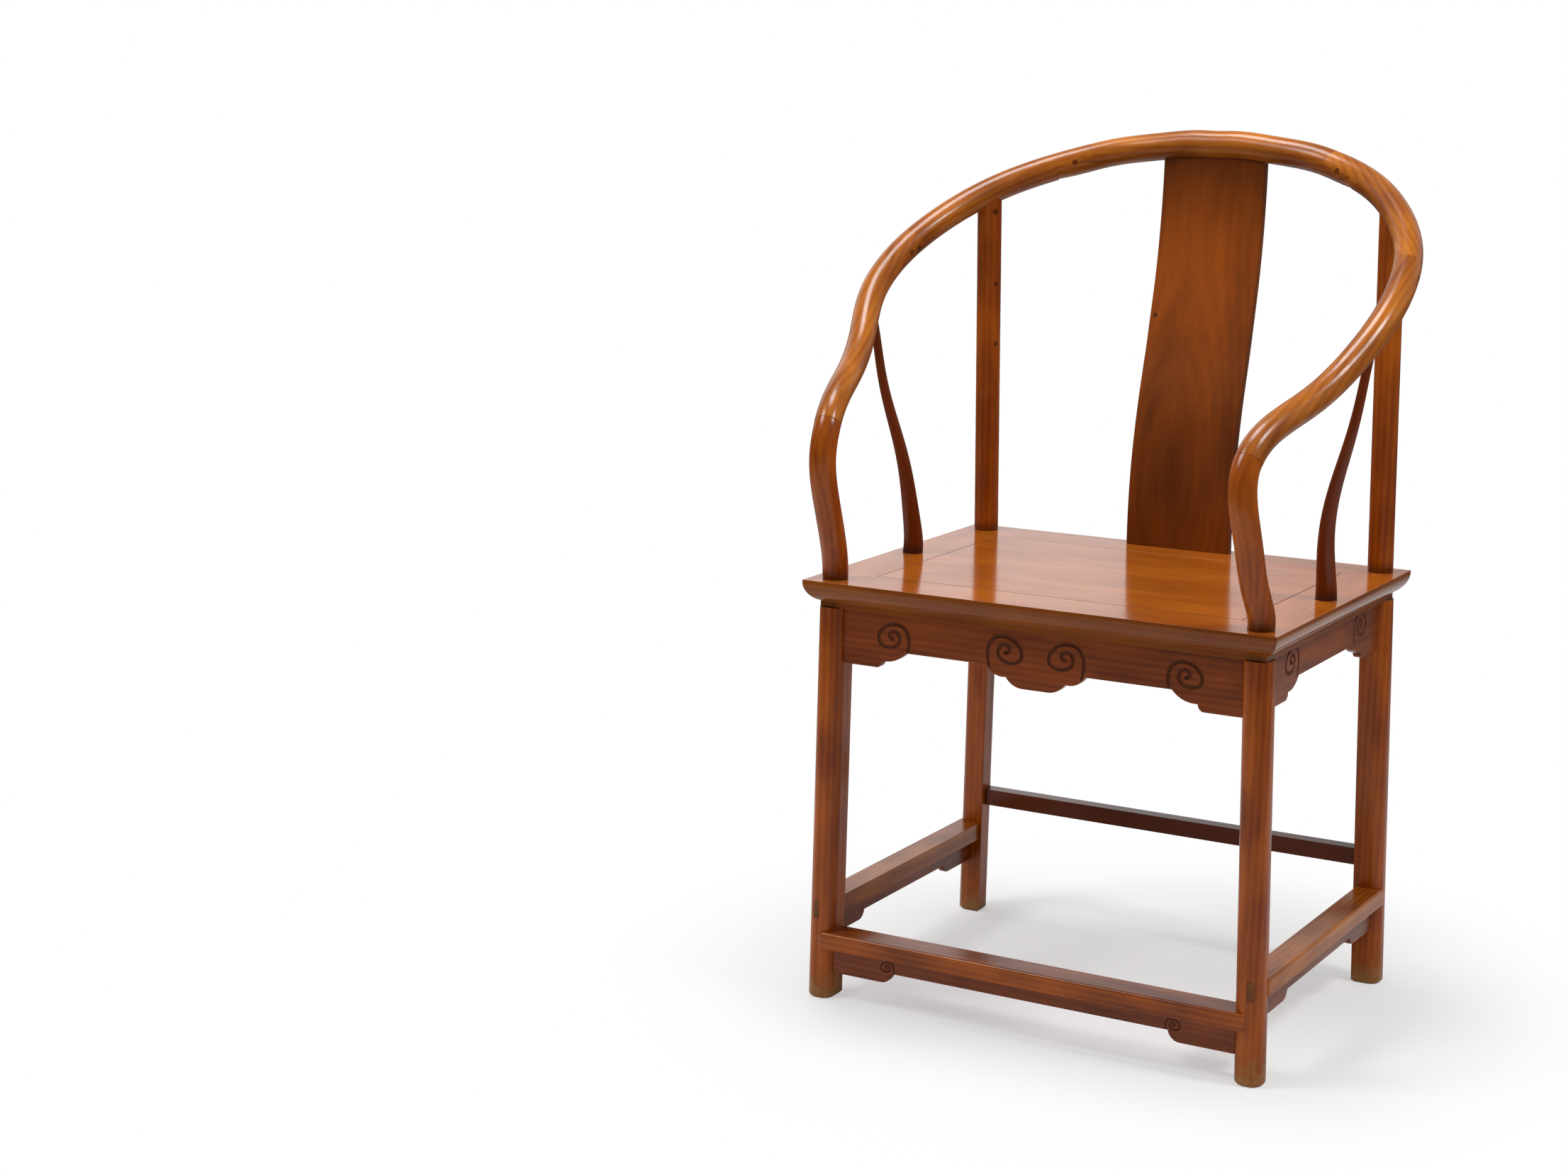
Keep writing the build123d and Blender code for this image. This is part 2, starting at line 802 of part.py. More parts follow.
footrest_board = apron_board(
    Plane.XZ.offset(footrest_leg[1] + lower_apron_setout), lower_apron_thickness, footrest_edge
)
side_lower_board = apron_board(
    Plane.YZ.offset(side_leg[0] + lower_apron_setout), lower_apron_thickness, side_lower_edge
)
pieces["footrest_apron"] = cut_away(footrest_board, *front_legs)
pieces["lower_apron_right"] = cut_away(side_lower_board, front_lower, back_lower)

for name in [name for name in pieces if name.endswith("_right")]:
    pieces[name.replace("_right", "_left")] = other_side(pieces[name])

# ---------------------------------------------------------------- write out
front_end = min(pieces[name].bounding_box().min.Y for name in ("arm_right", "front_leg_right"))
chair_middle = (front_end + rail_back + rail_diameter / 2) / 2
for name, piece in pieces.items():
    placed = piece.moved(Location((0, -chair_middle, 0)))
    placed.label = name
    export_step(placed, f"parts/{name}.step")
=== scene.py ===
"""The look of a horseshoe back armchair in waxed rosewood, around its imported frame.

The frame carries every size. The front faces -Y, "left" is -X and "right" is +X.
"""

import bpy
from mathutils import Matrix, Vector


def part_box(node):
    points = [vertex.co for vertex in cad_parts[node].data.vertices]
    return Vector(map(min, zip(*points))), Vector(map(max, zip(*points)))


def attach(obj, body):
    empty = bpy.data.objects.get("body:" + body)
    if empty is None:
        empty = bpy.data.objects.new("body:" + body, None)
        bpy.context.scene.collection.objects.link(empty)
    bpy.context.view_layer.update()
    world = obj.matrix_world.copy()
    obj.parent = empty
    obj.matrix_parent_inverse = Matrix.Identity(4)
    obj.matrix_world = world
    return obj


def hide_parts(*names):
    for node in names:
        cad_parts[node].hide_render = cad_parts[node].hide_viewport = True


bl_info = {
    "name": "Horseshoe Back Armchair",
    "version": (1, 0, 0),
    "blender": (4, 5, 0),
    "location": "View3D > Sidebar > Armchair",
    "description": "Carves, eases and polishes the pieces of a horseshoe back armchair",
    "category": "Add Mesh",
}

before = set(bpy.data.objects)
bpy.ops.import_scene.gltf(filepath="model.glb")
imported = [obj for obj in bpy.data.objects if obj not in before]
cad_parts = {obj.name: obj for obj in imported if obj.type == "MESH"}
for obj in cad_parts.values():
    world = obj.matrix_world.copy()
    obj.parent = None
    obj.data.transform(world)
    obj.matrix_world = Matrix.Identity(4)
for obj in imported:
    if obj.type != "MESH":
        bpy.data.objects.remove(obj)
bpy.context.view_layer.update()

from math import cos, radians, sin

import bmesh
import bpy
from bpy.props import FloatProperty, FloatVectorProperty, PointerProperty
from mathutils import Matrix, Vector

MM = 0.001
BODY = "root"
X, Y, Z = Vector((1, 0, 0)), Vector((0, 1, 0)), Vector((0, 0, 1))

# Shaping
MERGE = 1e-6                    # corners of the frame's triangles this near are one, in metres
BOARD_FLATNESS = radians(0.5)   # the facets of a board that bend less are made one face
STICK_FLATNESS = radians(0.01)  # a round stick keeps its facets, and only its ends are one face
ARRIS_ANGLE = radians(38)       # a corner that bends more has an arris to ease
CREASE_ANGLE = radians(40)      # a corner that bends more stays crisp in the shading
RAIL_ARRIS = 0.3 * MM
SEAT_ARRIS = 0.35 * MM
PANEL_JOINT = 1.2 * MM          # the waxed line round the seat panel

# A scroll from the edge of its board round to its eye: shares of its width, across and up.
SCROLL = (
    (0.50, -0.48), (0.56, -0.28), (0.60, 0.08), (0.43, 0.35), (0.17, 0.44), (-0.15, 0.38),
    (-0.37, 0.18), (-0.44, -0.03), (-0.36, -0.22), (-0.10, -0.30), (0.18, -0.23), (0.30, -0.03),
    (0.22, 0.18), (0.03, 0.23), (-0.11, 0.09), (0.0, -0.05), (0.08, 0.01),
)
# Where the scrolls lie: out from the middle of their board and up from the floor, in metres.
END_SCROLL = (0.1765, 0.4315)
DROP_SCROLL = (0.0335, 0.4325)
SIDE_SCROLL = (0.11, 0.441)
FOOTREST_SCROLL = (0.1755, 0.0495)
DROP_SCROLL_SIZE = 1.08         # the pair on the centre drop is a little larger
FOOTREST_GROOVE = 0.46          # the gouge for the footrest is this share of the other's width
PROUD = 0.12                    # how far the middle of the gouge stands off the face, in widths

# Small dark knots, each a place and a size in millimetres.
KNOTS = {
    "crest_rail_shoulder_left": (((-288.9, 48, 841.4), 5),),
    "back_leg_left": (
        ((-238.8, 147.3, 881.5), 5), ((-238.5, 151, 794.6), 4), ((-238.4, 154.1, 721.6), 4.5),
    ),
    "back_splat": (((-57.7, 218.5, 762), 4),),
}

# Grain
WAVE_PERIOD = 0.314             # distance between the rings of a Wave texture of scale 1
HOLLOW_DEPTH = 0.05 * MM        # depth of the hollows that scraping leaves
EVEN, SMOOTH = "LINEAR", "SMOOTHSTEP"

# Camera: where it stands, how it is turned, and the offset of its middle in sensor widths.
CAMERA_PLACE = (1229.9, -2801.5, 1079.3)    # millimetres
CAMERA_YAW, CAMERA_PITCH, CAMERA_ROLL = radians(30.02), radians(10.83), 0.00971
CAMERA_SHIFT = (-0.02475, -0.0159)
SENSOR_WIDTH = 36

# Lamps: place and diameter in metres, and power as a share of the overhead one's.
LAMPS = {
    "overhead softbox": ((-0.45, 0.15, 3.0), 1.0, 1.0),
    "front left softbox": ((-1.35, -1.25, 2.6), 0.9, 0.95),
    "right softbox": ((1.75, -0.1, 2.5), 0.6, 0.95),
}
LAMP_AIM = Vector((0, 0, 0.5))

# The paper floor, in metres from the middle of the chair: where it fades to white to the eye,
# and where it ends in the dim room as the polish shows it. Its sheet reaches out to 12 m.
PAPER_FADE = (0.28, 0.62)
PAPER_END = (1.2, 2.4)
PAPER_REACH = 12


def linear(colour):
    """Linear RGB of an sRGB hex colour."""
    values = [int(colour[i:i + 2], 16) / 255 for i in (1, 3, 5)]
    return tuple(v / 12.92 if v <= 0.04045 else ((v + 0.055) / 1.055) ** 2.4 for v in values)


def colour_setting(name, description, colour):
    """A colour of the wood or the stage that a user may change."""
    return FloatVectorProperty(
        name=name, description=description,
        subtype="COLOR", min=0, max=1, default=linear(colour))


# ---------------------------------------------------------------- settings
class ArmchairWood(bpy.types.PropertyGroup):
    """Colours and grain of the wood"""

    rail_dark: colour_setting(
        "Rail, dark grain", "Darkest grain of the crest rail and arms", "#7C3A0B")
    rail_light: colour_setting(
        "Rail, light grain", "Lightest grain of the crest rail and arms", "#C27220")
    post_dark: colour_setting(
        "Posts, dark grain", "Darkest grain of the legs and posts", "#6E2B04")
    post_light: colour_setting(
        "Posts, light grain", "Lightest grain of the legs and posts", "#B0580F")
    splat_dark: colour_setting(
        "Splat, dark grain", "Darkest grain of the splat", "#65300A")
    splat_light: colour_setting(
        "Splat, light grain", "Lightest grain of the splat", "#A65216")
    seat_dark: colour_setting(
        "Seat, dark grain", "Darkest grain of the seat", "#94480F")
    seat_light: colour_setting(
        "Seat, light grain", "Lightest grain of the seat", "#B8651E")
    apron_dark: colour_setting(
        "Aprons, dark grain", "Darkest grain of the aprons and stretchers", "#5E280E")
    apron_light: colour_setting(
        "Aprons, light grain", "Lightest grain of the aprons and stretchers", "#924618")
    worn: colour_setting(
        "Worn foot", "Bare wood where the feet have lost their finish", "#94703F")
    # In the carved grooves this dark colour is also painted shade.
    wax: colour_setting(
        "Old wax", "Dark wax and dust that fill the carving and the joints", "#4A2210")
    ring_spacing: FloatProperty(
        name="Growth rings", description="Distance between growth rings, in millimetres",
        min=1, max=30, default=7)    # 2 to 4 mm in the log, drawn wider so that they show
    fibre_width: FloatProperty(
        name="Fibre width",
        description="Width of the fine streaks along the grain, in millimetres",
        min=0.2, max=5, default=1.1)    # pores are 0.1 to 0.3 mm: too fine, so drawn coarser


class ArmchairCarving(bpy.types.PropertyGroup):
    """Sizes of the incised scrolls and eased edges"""

    groove_width: FloatProperty(
        name="Groove width", description="Width of an incised line",
        subtype="DISTANCE", unit="LENGTH", min=0.0005, max=0.005, default=0.0046)
    scroll_width: FloatProperty(
        name="Scroll width", description="Width of the scrolls under the seat",
        subtype="DISTANCE", unit="LENGTH", min=0.01, max=0.06, default=0.039)
    small_scroll_width: FloatProperty(
        name="Small scroll width", description="Width of the scrolls under the footrest",
        subtype="DISTANCE", unit="LENGTH", min=0.005, max=0.03, default=0.017)
    arris: FloatProperty(
        name="Eased edge", description="How far a worn edge is rounded off",
        subtype="DISTANCE", unit="LENGTH", min=0.0001, max=0.003, default=0.0007)


class ArmchairStage(bpy.types.PropertyGroup):
    """Floor, lights and camera"""

    floor: colour_setting(
        "Floor", "Colour of the floor", "#F4F4F4")
    overhead: FloatProperty(
        name="Overhead light",
        description="Strength of the light above the chair, which the other lamps follow",
        subtype="POWER", min=0, max=500, default=30)
    ambient: FloatProperty(
        name="Ambient", description="Strength of the soft light from all round",
        min=0, max=2, default=0.32)
    lift: FloatProperty(
        name="Shadow lift", description="How much the floor's shadow is lightened to the eye",
        subtype="FACTOR", min=0, max=1, default=0.45)
    room: FloatProperty(
        name="Room",
        description="How bright the room in front of the chair looks in the polish",
        subtype="FACTOR", min=0, max=1, default=0.1)
    lens: FloatProperty(
        name="Lens", description="Focal length of the camera, in millimetres",
        unit="CAMERA", min=10, max=300, default=62.41)


# ---------------------------------------------------------------- helpers
def node(tree, kind, inputs=None, **settings):
    """Add a shader node with its settings, and set or link its inputs by name or number."""
    made = tree.nodes.new(kind)
    for key, value in settings.items():
        setattr(made, key, value)
    for key, value in (inputs or {}).items():
        if isinstance(value, bpy.types.NodeSocket):
            tree.links.new(value, made.inputs[key])
        else:
            made.inputs[key].default_value = value
    return made


def empty_material(name):
    """A new material, and its node tree with nothing in it."""
    material = bpy.data.materials.new(name)
    material.use_nodes = True
    material.node_tree.nodes.clear()
    return material, material.node_tree


def middle(node_name):
    """The middle of a CAD node's box."""
    low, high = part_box(node_name)
    return (low + high) / 2


def rosewood(piece, dark, light, along, centre=None, pith=(38, 21), gloss=0.24, figure=34,
             ring=0.09, hollow=0.15, worn=False, dusty=None, sides=1.0, under=1.0, foot=1.0,
             head=1.0):
    """Waxed rosewood: dense, fine, red-brown, with dark growth lines and a soft hand polish.

    along is the way the grain runs, centre the point that it is laid from, and pith how far off
    the middle of the log lies, in millimetres. gloss is the roughness of the wax and figure the
    size of the mottling in millimetres. ring and hollow say how much the growth rings and the
    scraped hollows show. worn feet have lost their finish, and painted shade and dust darken the
    wood at the height dusty. sides, under, foot and head are the shares of the colour that are
    left where shade is painted: on upright faces, on the underside, at the foot of the board and
    under the rail.
    """
    wood = bpy.context.scene.armchair_wood
    material, tree = empty_material("waxed rosewood " + piece)
    turn = Vector(along).normalized().rotation_difference(Z)
    start = middle(piece) if centre is None else Vector(centre)
    shift = Vector((*pith, 0)) - turn @ (start / MM)
    coordinates = node(tree, "ShaderNodeTexCoord")
    place = coordinates.outputs["Object"]
    grain = node(tree, "ShaderNodeMapping", {
        "Vector": place, "Rotation": turn.to_euler(), "Scale": (1 / MM,) * 3,
        "Location": shift,
    }).outputs[0]
    # A log is never straight: its rings wander slowly along the piece.
    bent = node(tree, "ShaderNodeMapping", {
        "Vector": grain, "Rotation": (radians(2.5), radians(-1.5), 0), "Scale": (1, 1, 0.25),
    }).outputs[0]
    rings = node(tree, "ShaderNodeTexWave", {
        "Vector": bent, "Scale": WAVE_PERIOD / wood.ring_spacing, "Distortion": 5.0,
        "Detail": 2.0, "Detail Scale": 0.06, "Detail Roughness": 0.55,
    }, wave_type="RINGS", rings_direction="Z").outputs["Fac"]
    # Fibres and streaks are drawn out fifty times along the grain.
    drawn = node(tree, "ShaderNodeMapping", {"Vector": grain, "Scale": (1, 1, 0.02)}).outputs[0]
    fibres = node(tree, "ShaderNodeTexNoise", {
        "Vector": drawn, "Scale": 1 / wood.fibre_width, "Detail": 3.0, "Roughness": 0.6,
    }).outputs["Fac"]
    streak = node(tree, "ShaderNodeTexNoise", {
        "Vector": drawn, "Scale": 1 / 5.0,    # darker streaks, 5 mm wide
        "Detail": 3.0, "Roughness": 0.6, "Distortion": 0.4,
    }).outputs["Fac"]
    cloud = node(tree, "ShaderNodeMapping", {"Vector": grain, "Scale": (1, 1, 0.3)}).outputs[0]
    tone = node(tree, "ShaderNodeTexNoise", {
        "Vector": cloud, "Scale": 1 / figure, "Detail": 3.0, "Roughness": 0.5,
    }).outputs["Fac"]
    # Rings, fibres and mottling add up, each by its weight, to one scale from dark to light.
    mottled = 0.0
    for layer, weight in ((rings, ring), (fibres, 0.12), (tone, 0.75)):
        mottled = node(tree, "ShaderNodeMath", {
            0: layer, 1: weight, 2: mottled,
        }, operation="MULTIPLY_ADD").outputs[0]
    share = node(tree, "ShaderNodeMapRange", {
        "Value": mottled, "From Min": 0.28, "From Max": 0.68,
    }).outputs[0]
    base = node(tree, "ShaderNodeMix", {
        0: share, 6: (*dark, 1), 7: (*light, 1),
    }, data_type="RGBA").outputs[2]
    shade = node(tree, "ShaderNodeMapRange", {
        "Value": streak, "From Min": 0.34, "From Max": 0.52, "To Min": 0.91, "To Max": 1.0,
    }).outputs[0]
    facing = node(tree, "ShaderNodeVectorMath", {
        0: coordinates.outputs["Normal"], 1: Vector(along).normalized(),
    }, operation="DOT_PRODUCT").outputs["Value"]
    end = node(tree, "ShaderNodeMath", {0: facing}, operation="ABSOLUTE").outputs[0]
    upward = node(tree, "ShaderNodeSeparateXYZ", {0: coordinates.outputs["Normal"]}).outputs["Z"]
    height = node(tree, "ShaderNodeSeparateXYZ", {0: place}).outputs["Z"]
    # What darkens the wood: a value, the range of it that matters, the share of the colour that
    # is left at the start and at the end of that range, and how it changes in between.
    shades = [
        # Cut ends drink the finish and go darker.
        (end, 0.86, 0.97, 1.0, 0.38, EVEN),
    ]
    if under < 1:
        # Painted shade: the underside of a stick is darker, as it lies in shadow.
        shades.append((upward, -0.8, 0.3, under, 1.0, EVEN))
    if sides < 1:
        # Painted shade: upright edges and faces are darker than the top, as less light falls on
        # them.
        shades.append((upward, 0.5, 0.95, sides, 1.0, EVEN))
    if foot < 1:
        # Painted shade: the board darkens towards its foot.
        shades.append((height, 0.50, 0.80, foot, 1.0, EVEN))
    if head < 1:
        # Painted shade: the board darkens just under the rail, in its shadow.
        shades.append((height, 0.82, 0.96, 1.0, head, SMOOTH))
    if dusty is not None:
        # Painted shade and dust where a post stands on the seat: the wood darkens in a band
        # around the seat's height.
        gap = node(tree, "ShaderNodeMath", {0: height, 1: dusty}, operation="SUBTRACT").outputs[0]
        gap = node(tree, "ShaderNodeMath", {0: gap}, operation="ABSOLUTE").outputs[0]
        shades.append((gap, 0.0, 0.016, 0.4, 1.0, SMOOTH))
    for spot, size in KNOTS.get(piece, ()):
        # A knot is darkest in its middle.
        away = node(tree, "ShaderNodeVectorMath", {
            0: place, 1: Vector(spot) * MM,
        }, operation="DISTANCE").outputs["Value"]
        shades.append((away, 0.3 * size * MM, size * MM, 0.3, 1.0, SMOOTH))
    for value, low, high, first, last, change in shades:
        left = node(tree, "ShaderNodeMapRange", {
            "Value": value, "From Min": low, "From Max": high, "To Min": first, "To Max": last,
        }, interpolation_type=change).outputs[0]
        shade = node(tree, "ShaderNodeMath", {0: shade, 1: left}, operation="MULTIPLY").outputs[0]
    colour = node(tree, "ShaderNodeMix", {
        0: 1.0, 6: base, 7: shade,
    }, data_type="RGBA", blend_type="MULTIPLY").outputs[2]
    if worn:
        # The last 55 mm above the floor have lost their finish in patches, more so lower down.
        scuffs = node(tree, "ShaderNodeTexNoise", {
            "Vector": grain, "Scale": 1 / 12,    # patches 12 mm across
            "Detail": 5.0, "Roughness": 0.65,
        }).outputs["Fac"]
        near = node(tree, "ShaderNodeMapRange", {
            "Value": height, "From Min": 0.0, "From Max": 0.055,
            "To Min": 0.42, "To Max": -0.25,
        }).outputs[0]
        bare = node(tree, "ShaderNodeMath", {0: scuffs, 1: near}, operation="ADD").outputs[0]
        bare = node(tree, "ShaderNodeMapRange", {
            "Value": bare, "From Min": 0.55, "From Max": 0.9, "To Max": 0.75,
        }).outputs[0]
        colour = node(tree, "ShaderNodeMix", {
            0: bare, 6: colour, 7: (*wood.worn, 1),
        }, data_type="RGBA").outputs[2]
    rough = node(tree, "ShaderNodeMapRange", {
        "Value": tone, "From Min": 0.3, "From Max": 0.7,
        "To Min": gloss + 0.03, "To Max": gloss - 0.03,
    }).outputs[0]
    # Hands and clothes polish the tops best; the sides are duller.
    shine = node(tree, "ShaderNodeMapRange", {
        "Value": upward, "From Min": 0.2, "From Max": 0.9, "To Min": 0.24, "To Max": 0.5,
    }).outputs[0]
    # A scraped and hand-rubbed surface is not quite true: shallow hollows run along the grain.
    bump = node(tree, "ShaderNodeBump", {
        "Height": streak, "Strength": hollow, "Distance": HOLLOW_DEPTH,
    }).outputs[0]
    shader = node(tree, "ShaderNodeBsdfPrincipled", {
        "Base Color": colour, "Roughness": rough, "Normal": bump,
        "IOR": 1.5, "Specular IOR Level": shine,
    }).outputs[0]
    node(tree, "ShaderNodeOutputMaterial", {"Surface": shader})
    return material


def old_wax(name):
    """Wax and dust packed into cuts and joints, and painted shade in carved cuts: dark brown,
    dull and a little uneven.
    """
    material, tree = empty_material(name)
    colour = bpy.context.scene.armchair_wood.wax
    # Dust lies in clots of about 3 mm, up to twice as pale as the wax.
    clots = node(tree, "ShaderNodeTexNoise", {
        "Vector": node(tree, "ShaderNodeTexCoord").outputs["Object"],
        "Scale": 1 / (3 * MM), "Detail": 3.0,
    }).outputs["Fac"]
    dusty = node(tree, "ShaderNodeMix", {
        0: clots, 6: (*colour, 1), 7: (*[2.0 * c for c in colour], 1),
    }, data_type="RGBA").outputs[2]
    shader = node(tree, "ShaderNodeBsdfPrincipled", {
        "Base Color": dusty, "Roughness": 0.6, "IOR": 1.45, "Specular IOR Level": 0.2,
    }).outputs[0]
    node(tree, "ShaderNodeOutputMaterial", {"Surface": shader})
    return material


def apply_modifiers(piece):
    """Give a piece the mesh that its modifiers make of it."""
    bpy.context.view_layer.update()
    graph = bpy.context.evaluated_depsgraph_get()
    piece.data = bpy.data.meshes.new_from_object(piece.evaluated_get(graph))
    piece.modifiers.clear()


def carve(piece, cutters):
    """Cut scrolls out of a board, and line the cuts with the cutters' wax, whose dark colour is
    also painted shade.
    """
    for cutter in cutters:
        cut = piece.modifiers.new("scroll", "BOOLEAN")
        cut.operation = "DIFFERENCE"
        cut.solver = "EXACT"
        cut.material_mode = "TRANSFER"
        cut.object = cutter
    apply_modifiers(piece)
    if not piece.data.polygons:
        raise RuntimeError(f"the scrolls have cut all of {piece.name} away")
    for cutter in cutters:
        bpy.data.objects.remove(cutter)


def copy_normals(piece, name):
    """Give a round stick the exact normals of its CAD shape, which keep its shine even."""
    exact = piece.modifiers.new("exact normals", "DATA_TRANSFER")
    exact.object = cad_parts[name]
    exact.use_loop_data = True
    exact.data_types_loops = {"CUSTOM_NORMAL"}
    exact.loop_mapping = "POLYINTERP_NEAREST"
    apply_modifiers(piece)


def eased(name, material, width=None, joint=None, cutters=(), stick=False):
    """Stand a copy of a CAD node with eased arrises in the node's place.

    width is how far the arrises are rounded off, and joint the material that lines them where
    they are a joint. cutters are the scrolls to carve, and stick says that the node is round.
    """
    bm = bmesh.new()
    bm.from_mesh(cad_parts[name].data)
    bmesh.ops.remove_doubles(bm, verts=bm.verts, dist=MERGE)
    flatness = STICK_FLATNESS if stick else BOARD_FLATNESS
    bmesh.ops.dissolve_limit(bm, angle_limit=flatness, verts=bm.verts, edges=bm.edges)
    sharp = [e for e in bm.edges if e.is_manifold and e.calc_face_angle(0) > ARRIS_ANGLE]
    bmesh.ops.bevel(
        bm, geom=sharp, offset=width or bpy.context.scene.armchair_carving.arris,
        affect="EDGES", segments=2, profile=0.5, material=1 if joint else -1, clamp_overlap=True,
    )
    mesh = bpy.data.meshes.new(name + "_finished")
    bm.to_mesh(mesh)
    bm.free()
    mesh.materials.append(material)
    if joint:
        mesh.materials.append(joint)
    piece = bpy.data.objects.new(name + "_finished", mesh)
    bpy.context.collection.objects.link(piece)
    if cutters:
        carve(piece, cutters)
    piece.data.shade_smooth()
    piece.data.set_sharp_from_angle(angle=CREASE_ANGLE)
    if stick:
        copy_normals(piece, name)
    else:
        piece.modifiers.new("flat faces", "WEIGHTED_NORMAL").keep_sharp = True
    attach(piece, BODY)
    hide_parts(name)


def scroll(eye, across, out, width, groove, wax):
    """A round gouge that winds in to a scroll's eye, to be cut out of a board's face.

    eye is the middle of the scroll on the face, across the way it opens and out the way the face
    looks. width is the scroll's size and groove the gouge's.
    """
    curve = bpy.data.curves.new("scroll", "CURVE")
    curve.dimensions = "3D"
    curve.bevel_depth = groove / 2
    curve.bevel_resolution = 4
    curve.use_fill_caps = True
    curve.resolution_u = 6
    line = curve.splines.new("NURBS")
    line.points.add(len(SCROLL) - 1)
    for point, (sideways, up) in zip(line.points, SCROLL):
        spot = Vector(eye) + across * sideways * width + Vector((0, 0, up * width))
        point.co = (*(spot + out * groove * PROUD), 1)
    # The cut starts thin at the board's edge and ends in a deeper pit.
    line.points[0].radius = 0.6
    line.points[-1].radius = 1.4
    line.order_u = 4
    line.use_endpoint_u = True
    tube = bpy.data.objects.new("scroll", curve)
    bpy.context.collection.objects.link(tube)
    bpy.context.view_layer.update()
    graph = bpy.context.evaluated_depsgraph_get()
    mesh = bpy.data.meshes.new_from_object(tube.evaluated_get(graph))
    bpy.data.objects.remove(tube)
    mesh.materials.clear()
    mesh.materials.append(wax)
    cutter = bpy.data.objects.new("scroll", mesh)
    bpy.context.collection.objects.link(cutter)
    return cutter


# ---------------------------------------------------------------- operators
class ARMCHAIR_OT_crest_rail(bpy.types.Operator):
    """Polish the five sections of the crest rail and arms, and their wedge pins"""

    bl_idname = "armchair.crest_rail"
    bl_label = "Crest Rail"

    def execute(self, context):
        wood = context.scene.armchair_wood
        # The way the grain runs: each section was sawn from straight timber.
        runs = {
            "crest_rail_centre": X,
            "crest_rail_shoulder_left": (-0.55, -0.72, -0.42),
            "crest_rail_shoulder_right": (0.55, -0.72, -0.42),
            "arm_left": (-0.12, 0.80, 0.58),
            "arm_right": (0.12, 0.80, 0.58),
        }
        seam = old_wax("old wax in the rail joints")
        for name, along in runs.items():
            # under=0.6 paints shade on the underside of each section.
            material = rosewood(
                name, wood.rail_dark, wood.rail_light, along, gloss=0.25, hollow=0.08, under=0.6)
            eased(name, material, width=RAIL_ARRIS, joint=seam, stick=True)
        # The pins keep their CAD shape, and show dark end grain.
        pins = "rail_wedge_pins"
        material = rosewood(pins, wood.splat_dark, wood.splat_dark, Z, centre=(0, 0, 0))
        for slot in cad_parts[pins].material_slots:
            slot.material = material
        return {"FINISHED"}


class ARMCHAIR_OT_posts(bpy.types.Operator):
    """Polish the legs, the posts that rise from them, and the side posts"""

    bl_idname = "armchair.posts"
    bl_label = "Legs and Posts"

    def execute(self, context):
        wood = context.scene.armchair_wood
        # Painted shade and dust darken the posts around the seat's height.
        seat_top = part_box("seat_panel")[1].z
        for side in ("left", "right"):
            for kind in ("front_leg", "back_leg"):
                name = f"{kind}_{side}"
                eased(name, rosewood(
                    name, wood.post_dark, wood.post_light, Z, worn=True, dusty=seat_top))
            name = "side_post_" + side
            material = rosewood(
                name, wood.apron_dark, wood.post_dark, Z, hollow=0.05, dusty=seat_top)
            eased(name, material, stick=True)
        return {"FINISHED"}


class ARMCHAIR_OT_splat(bpy.types.Operator):
    """Ease and polish the splat"""

    bl_idname = "armchair.splat"
    bl_label = "Splat"

    def execute(self, context):
        wood = context.scene.armchair_wood
        lean = (0, 0.12, 1)
        # foot and head paint shade on the splat: at its foot and under the rail.
        eased("back_splat", rosewood(
            "back_splat", wood.splat_dark, wood.splat_light, lean,
            pith=(20, 90), figure=75, ring=0.04, foot=0.8, head=0.45))
        return {"FINISHED"}


class ARMCHAIR_OT_seat(bpy.types.Operator):
    """Ease and polish the mitred seat frame, the panel and its braces"""

    bl_idname = "armchair.seat"
    bl_label = "Seat"

    def execute(self, context):
        wood = context.scene.armchair_wood
        colours = wood.seat_dark, wood.seat_light
        polished = {"pith": (60, 80), "gloss": 0.13}
        runs = {
            "seat_member_front": X, "seat_member_back": X,
            "seat_member_left": Y, "seat_member_right": Y, "seat_braces": Y,
        }
        for name, along in runs.items():
            # sides paints shade on the upright faces of the seat frame.
            eased(name, rosewood(name, *colours, along, sides=0.55, **polished), width=SEAT_ARRIS)
        eased("seat_panel", rosewood("seat_panel", *colours, X, **polished),
              width=PANEL_JOINT, joint=old_wax("old wax round the seat panel"))
        return {"FINISHED"}


